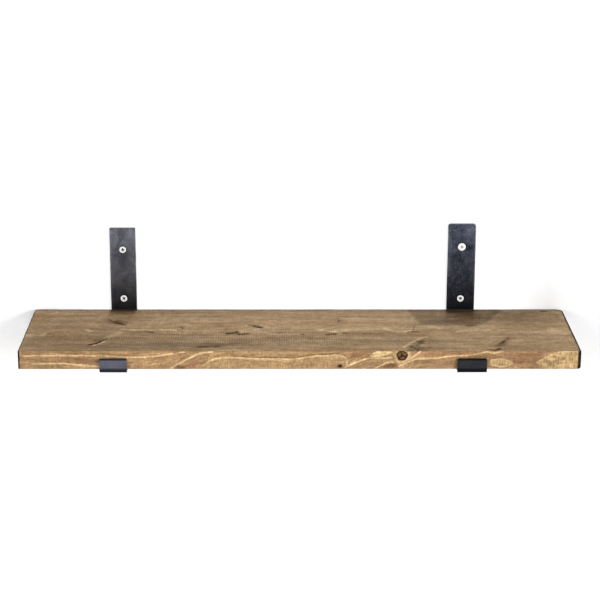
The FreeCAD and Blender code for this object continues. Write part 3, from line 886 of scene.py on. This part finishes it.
def make_bracket(name, node, slot, seed, top_corner, lip_corner, material):
    """A bent bar: its section carried along its path, with rounded end corners, dents and holes."""
    low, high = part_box(node)
    half, middle = (high.x - low.x) / 2, (low.x + high.x) / 2
    path, section = bar_path(low, high), bar_section(half)
    steps = np.hypot(*np.diff(path[:, :2], axis=0).T)
    walked = np.concatenate([[0], np.cumsum(steps)])

    # The rounded corners draw the sides in near both ends of the bar.
    upright = path[:, 0] >= high.y - TOUCH
    from_top = high.z - path[:, 1]
    from_lip = np.where(path[:, 0] < low.y + BAR_THICKNESS, low.z + LIP_HEIGHT - path[:, 1], 1.0)
    from_end = np.where(upright, from_top, from_lip)
    corner = np.where(upright, top_corner, lip_corner)
    drawn_in = corner - np.sqrt(np.maximum(corner**2 - (corner - from_end) ** 2, 0))
    scale = (half - np.where(from_end < corner, drawn_in, 0.0))[:, None] / half

    # Dents go inward from every face.
    across, level, edge_share = (column[None, :] for column in section.T)
    along = walked[:, None] + 0 * across
    dents = 0.05 * noise(across / (9 * MM) + 7, along / (14 * MM), seed)
    dents = dents + 0.03 * noise(across / (3 * MM), along / (4 * MM), seed + 1)
    sides = np.sign(across) * edge_share * 0.12 * noise(along / (11 * MM), across * 0, seed + 2)
    depth = level + (dents - 0.08) * MM * np.where(level > BAR_THICKNESS / 2, 1, -1)
    x = middle + across * scale + (sides - 0.13 * np.sign(across) * edge_share) * MM
    y = path[:, 0][:, None] - path[:, 2][:, None] * depth
    z = path[:, 1][:, None] - path[:, 3][:, None] * depth

    count = len(section)
    first_row, last_row = range(count), range((len(path) - 1) * count, len(path) * count)
    faces = [*tube_quads(len(path), count), tuple(first_row)[::-1], tuple(last_row)]
    bracket = mesh_object(name, np.stack([x.ravel(), y.ravel(), z.ravel()], 1), faces)
    paint(bracket, bar_marks(path, section, x, walked, from_top, low, high, seed))
    bracket.data.materials.append(material)
    hand = node.split("_")[1]
    cutters = [wall_hole(f"wall_screw_{hand}_{place}") for place in ("upper", "lower")]
    cutters += [board_hole(f"board_screw_{hand}_{place}") for place in ("back", "front")]
    cut(bracket, cutters)
    fix_normals(bracket)
    smooth(bracket, 35)
    put_in_place(bracket, slot, node)


def turned(name, profile, segments=48):
    """A solid of revolution about Z from (radius, height) pairs, first and last on the axis."""
    vertices = [(0, 0, profile[0][1])]
    for radius, height in profile[1:-1]:
        for step in range(segments):
            angle = 2 * math.pi * step / segments
            vertices.append((radius * math.cos(angle), radius * math.sin(angle), height))
    vertices.append((0, 0, profile[-1][1]))
    faces = []
    rings = len(profile) - 2
    for step in range(segments):
        after = (step + 1) % segments
        faces.append((0, 1 + after, 1 + step))
        for ring in range(rings - 1):
            here, below = 1 + ring * segments, 1 + (ring + 1) * segments
            faces.append((here + step, here + after, below + after, below + step))
        base = 1 + (rings - 1) * segments
        faces.append((base + step, base + after, len(vertices) - 1))
    piece = mesh_object(name, vertices, faces)
    fix_normals(piece)
    return piece


def head_radius(node):
    low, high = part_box(node)
    return (high - low).x / 2


def wall_screw_place(node):
    """Where a wall screw's head is; the screw's own -Z points into the wall."""
    low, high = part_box(node)
    place = Vector(((low.x + high.x) / 2, low.y, (low.z + high.z) / 2))
    return Matrix.Translation(place) @ Matrix.Rotation(math.pi / 2, 4, "X")


def board_screw_place(node):
    """Where a board screw's head is; the screw's own -Z points up into the board."""
    low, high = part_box(node)
    place = Vector(((low.x + high.x) / 2, (low.y + high.y) / 2, low.z))
    return Matrix.Translation(place) @ Matrix.Rotation(math.pi, 4, "X")


def hole_cutter(node, hole_radius, place):
    """The cutter of the countersunk hole that a screw sits in, with its mouth at the screw's head."""
    mouth_radius = head_radius(node) + HEAD_GAP
    cone = mouth_radius - hole_radius
    over = 1 * MM
    profile = [
        (0, over), (mouth_radius + over, over), (hole_radius, -cone),
        (hole_radius, -BAR_THICKNESS - over), (0, -BAR_THICKNESS - over),
    ]
    cutter = turned(node + "_hole", profile)
    cutter.matrix_world = place
    return cutter


def wall_hole(node):
    return hole_cutter(node, WALL_HOLE, wall_screw_place(node))


def board_hole(node):
    return hole_cutter(node, BOARD_HOLE, board_screw_place(node))


def steel_material(name, dark, light, lip, scratch, roughness):
    """Hot-rolled steel: blotched mill scale, fine scratches, bare metal on worn edges and cut ends."""
    shader = Shader(name)
    blotches = shader.grain((60, 60, 50), 5, 0.65, 0.6)
    grit = shader.grain((900, 900, 700), 3, 0.6)
    scratches = shader.grain((330, 330, 110), 4, 0.8, 1.6)
    specks = shader.grain((420, 420, 420), 2, 0.5)
    colour = shader.mix(shader.spread(blotches, 0.36, 0.64), dark, light)
    colour = shader.mix(shader.painted("lip"), colour, lip)
    colour = shader.bright(colour, shader.spread(grit, 0.3, 0.7, 0.8, 1.2))
    wear = shader.spread(shader.painted("lip"), 0, 1, scratch, 0.15 * scratch)
    scratched = shader.math("MULTIPLY", shader.spread(scratches, 0.58, 0.74), wear)
    colour = shader.mix(scratched, colour, tint(150, 154, 174))
    speckled = shader.math("MULTIPLY", shader.spread(specks, 0.66, 0.76), wear)
    colour = shader.mix(speckled, colour, tint(164, 166, 172))
    edge = shader.math("MULTIPLY", shader.painted("worn"), shader.spread(blotches, 0.4, 0.6, 0.1, 0.5))
    colour = shader.mix(edge, colour, tint(134, 136, 142))
    # The brightness holds painted shade and reflection as well as the steel's uneven tone.
    colour = shader.bright(colour, shader.painted("tone_and_shading"))
    colour = shader.mix(shader.painted("cut_end"), colour, tint(126, 126, 130))
    height = shader.math("MULTIPLY_ADD", grit, 0.4, blotches)
    return shader.finish(
        Base_Color=colour,
        Metallic=0.9,
        Roughness=shader.spread(blotches, 0.3, 0.7, roughness + 0.1, roughness - 0.06),
        Normal=shader.bump(height, 0.06 * MM, 0.6),
    )


# ---- the screws

def screw_body(name, head, length, thread, shank, pitch):
    """A countersunk wood screw along -Z: head, plain shank, helical thread and point."""
    rim = 0.4 * MM
    core = thread * 0.68
    shoulder = BAR_THICKNESS + 0.3 * MM
    segments = 32
    rows = [(0.25 * MM, 0.0), (0.5 * head, 0.0), (head - 0.25 * MM, 0.0), (head, -0.12 * MM), (head, -rim)]
    neck = rim + head - shank
    rows += [(shank + 0.3 * MM, -neck + 0.3 * MM), (shank, -neck - 0.1 * MM), (shank, -shoulder)]
    top, bottom = -shoulder, -length
    taper = 4.5 * MM
    levels = np.linspace(top, bottom, round((top - bottom) / (pitch / 9)) + 1)[1:]
    vertices = []
    angles = np.linspace(0, 2 * math.pi, segments, endpoint=False)
    for radius, height in rows:
        for angle in angles:
            vertices.append((radius * math.cos(angle), radius * math.sin(angle), height))
    for height in levels:
        slim = max(0.02, min(1.0, (height - bottom) / taper) ** 0.7)
        start = min(1.0, (top - height) / (1.5 * pitch))
        for angle in angles:
            phase = ((top - height) / pitch - angle / (2 * math.pi)) % 1.0
            crest = max(0.0, 1 - abs(phase - 0.5) / 0.22)
            radius = (core + (thread - core) * crest * start) * slim
            vertices.append((radius * math.cos(angle), radius * math.sin(angle), height))
    count = len(rows) + len(levels)
    faces = [(a, d, c, b) for a, b, c, d in tube_quads(count, segments)]
    faces += [tuple(range(segments)), tuple(range((count - 1) * segments, count * segments))[::-1]]
    screw = mesh_object(name, vertices, faces)
    fix_normals(screw)
    return screw


def recess_cutter(name, span, width, depth):
    """A tapering cross-shaped cutter, mouth at the origin, pointing down."""
    outline = []
    for cos, sin in ((1, 0), (0, 1), (-1, 0), (0, -1)):
        for out, side in ((span, -width), (span, width), (width, width)):
            outline.append((out * cos - side * sin, out * sin + side * cos))
    over = 0.4 * MM
    vertices = [(u, v, over) for u, v in outline]
    vertices += [(u * 0.42, v * 0.6, -depth) for u, v in outline]
    count = len(outline)
    faces = [tuple(range(count)), tuple(range(count, 2 * count))[::-1]]
    faces += [(a, d, c, b) for a, b, c, d in tube_quads(2, count)]
    piece = mesh_object(name, vertices, faces)
    fix_normals(piece)
    return piece


def make_screw(node, slot, place, turn, recess, material, sizes):
    """A screw with a cross recess, turned by turn degrees; recess is its span as a share of the head."""
    low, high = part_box(node)
    head = head_radius(node)
    screw = screw_body(node.replace("screw", "woodscrew"), head, max(high - low), **sizes)
    cross = recess_cutter("recess", head * recess, head * 0.24, RECESS_DEPTH)
    cross.matrix_world = Matrix.Rotation(math.radians(turn), 4, "Z")
    cut(screw, [cross])
    level = np.array([vertex.co.z for vertex in screw.data.vertices])
    reach = np.array([vertex.co.xy.length for vertex in screw.data.vertices])
    within = (level < -0.15 * MM) & (level > -RECESS_DEPTH - 0.1 * MM)
    paint(screw, {"recess": within & (reach < head * (recess + 0.04))})
    screw.data.transform(place)
    smooth(screw, 30)
    screw.data.materials.append(material)
    put_in_place(screw, slot, node)


def plated_material(name, colour, metallic, roughness, recess_shade):
    """Plated steel: slightly duller patches, fine unevenness, and painted shade in the recess."""
    shader = Shader(name)
    patches = shader.grain((400, 400, 400), 3, 0.6)
    fine = shader.grain((2600, 2600, 2600), 2, 0.6)
    shade = shader.bright(colour, shader.spread(patches, 0.3, 0.7, 0.92, 1.0))
    # Painted shade in the recess.
    shade = shader.mix(shader.math("MULTIPLY", shader.painted("recess"), recess_shade), shade, tint(28, 28, 30))
    return shader.finish(
        Base_Color=shade,
        Metallic=metallic,
        Roughness=shader.spread(patches, 0.3, 0.7, roughness + 0.12, roughness - 0.05),
        Normal=shader.bump(fine, 0.02 * MM, 0.5),
    )


def make_wall_screws():
    """Four zinc-plated screws, of which the upper right one is brighter and has a smaller recess."""
    # The last number sets how strong the painted shade in the recess is.
    zinc = plated_material("zinc_screws", tint(252, 253, 255), 0.1, 0.4, 0.95)
    bright = plated_material("bright_screw", tint(255, 255, 255), 0.05, 0.4, 0.5)
    for spot, turn, slot, recess, material in (
        ("left_upper", 12, "zinc_screws", 0.64, zinc),
        ("left_lower", 33, "zinc_screws", 0.64, zinc),
        ("right_upper", 45, "bright_screw", 0.44, bright),
        ("right_lower", 68, "zinc_screws", 0.64, zinc),
    ):
        node = f"wall_screw_{spot}"
        make_screw(node, slot, wall_screw_place(node), turn, recess, material, WALL_SCREW)


def make_board_screws():
    # The last number sets how strong the painted shade in the recess is.
    black = plated_material("dark_screws", tint(62, 62, 66), 0.9, 0.42, 0.95)
    for number, spot in enumerate(("left_back", "left_front", "right_back", "right_front")):
        node = f"board_screw_{spot}"
        make_screw(node, "dark_screws", board_screw_place(node), 20 + 37 * number, 0.5, black, BOARD_SCREW)


# ---- room and light

def plain_sheet(name, corners, material):
    sheet = mesh_object(name, corners, [(0, 1, 2, 3)])
    sheet.data.materials.append(material)
    return sheet


def make_floor():
    shader = Shader("pale_floor")
    pale = shader.mix(shader.grain((3, 3, 3), 3), tint(238, 238, 238), tint(243, 243, 243))
    material = shader.finish(Base_Color=pale, Roughness=0.85)
    sides = ((-1, -1), (1, -1), (1, 1), (-1, 1))
    plain_sheet("floor", [(ROOM_HALF * u, ROOM_HALF * v, FLOOR_LEVEL) for u, v in sides], material)


def make_wall():
    """A white wall that only shows from the front, glows a little and casts no light or shade.

    Beside the board's ends it doesn't glow, so that a soft shadow shows there.
    """
    shader = Shader("white_wall")
    spot = shader.node("ShaderNodeSeparateXYZ", {0: shader.place((1, 1, 1))}).outputs
    middle = (BOARD_LOW.x + BOARD_HIGH.x) / 2
    sideways = shader.math("ABSOLUTE", shader.math("SUBTRACT", spot[0], middle))
    upward = shader.math("ABSOLUTE", shader.math("SUBTRACT", spot[2], BOARD_LOW.z))
    beside = shader.spread(sideways, 0.31, 0.38)
    level = shader.spread(upward, 0.05, 0.2, 1, 0)
    shaded = shader.math("MULTIPLY", beside, level)
    # Painted light: beside the ends the paper is lighter at the left end than at the right, against the
    # stronger right lamp.
    lightest = shader.spread(spot[0], BOARD_LOW.x, BOARD_HIGH.x, 1.15, 0.86)
    grey = shader.spread(shaded, 0, 1, 0.45, lightest)
    paper = shader.node("ShaderNodeBsdfDiffuse", {"Color": grey}).outputs[0]
    glow_strength = shader.spread(shaded, 0, 1, 0.7, 0.0)
    glow = shader.node("ShaderNodeEmission", {"Strength": glow_strength}).outputs[0]
    front = shader.node("ShaderNodeAddShader", {0: paper, 1: glow}).outputs[0]
    clear = shader.node("ShaderNodeBsdfTransparent").outputs[0]
    behind = shader.node("ShaderNodeNewGeometry").outputs["Backfacing"]
    either = shader.node("ShaderNodeMixShader", {0: behind, 1: front, 2: clear}).outputs[0]
    shader.node("ShaderNodeOutputMaterial", {"Surface": either})
    left, right = -ROOM_HALF, ROOM_HALF
    corners = [(left, 0, FLOOR_LEVEL), (right, 0, FLOOR_LEVEL), (right, 0, WALL_TOP), (left, 0, WALL_TOP)]
    wall = plain_sheet("wall", corners, shader.material)
    wall.visible_diffuse = False
    wall.visible_glossy = False
    wall.visible_shadow = False
    wall.visible_transmission = False


def make_lamp(name, place, target, size, power):
    """A soft box aimed at target, which the camera doesn't see."""
    data = bpy.data.lights.new(name, "AREA")
    data.shape = "RECTANGLE"
    data.size, data.size_y = size
    data.energy = power
    lamp = bpy.data.objects.new(name, data)
    lamp.location = place
    lamp.rotation_euler = (Vector(target) - Vector(place)).to_track_quat("-Z", "Y").to_euler()
    lamp.visible_camera = False
    bpy.context.scene.collection.objects.link(lamp)


def make_light():
    world = bpy.data.worlds.new("soft_studio")
    world.use_nodes = True
    backdrop = world.node_tree.nodes["Background"]
    backdrop.inputs["Color"].default_value = (1, 1, 1, 1)
    backdrop.inputs["Strength"].default_value = 0.5
    scene = bpy.context.scene
    scene.world = world
    scene.view_settings.view_transform = "Standard"
    aim, size = (0, -0.1, 0), (1.3, 0.9)
    make_lamp("softbox_right", (1.9, -2.4, 0.6), aim, size, 54)
    make_lamp("softbox_left", (-1.7, -2.5, 0.65), aim, size, 20)


make_camera()
make_floor()
make_wall()
make_light()
make_board()
LEFT_STEEL = steel_material(
    "left_bracket_steel", tint(78, 80, 88), tint(114, 116, 126), tint(104, 106, 119), 0.3, 0.4
)
RIGHT_STEEL = steel_material(
    "right_bracket_steel", tint(38, 42, 52), tint(74, 78, 92), tint(45, 47, 51), 0.9, 0.42
)
make_bracket("lip_bracket_left", "bracket_left", "left_bracket_steel", 51, 0.8 * MM, 1 * MM, LEFT_STEEL)
make_bracket("lip_bracket_right", "bracket_right", "right_bracket_steel", 61, 3.5 * MM, 2 * MM, RIGHT_STEEL)
make_wall_screws()
make_board_screws()
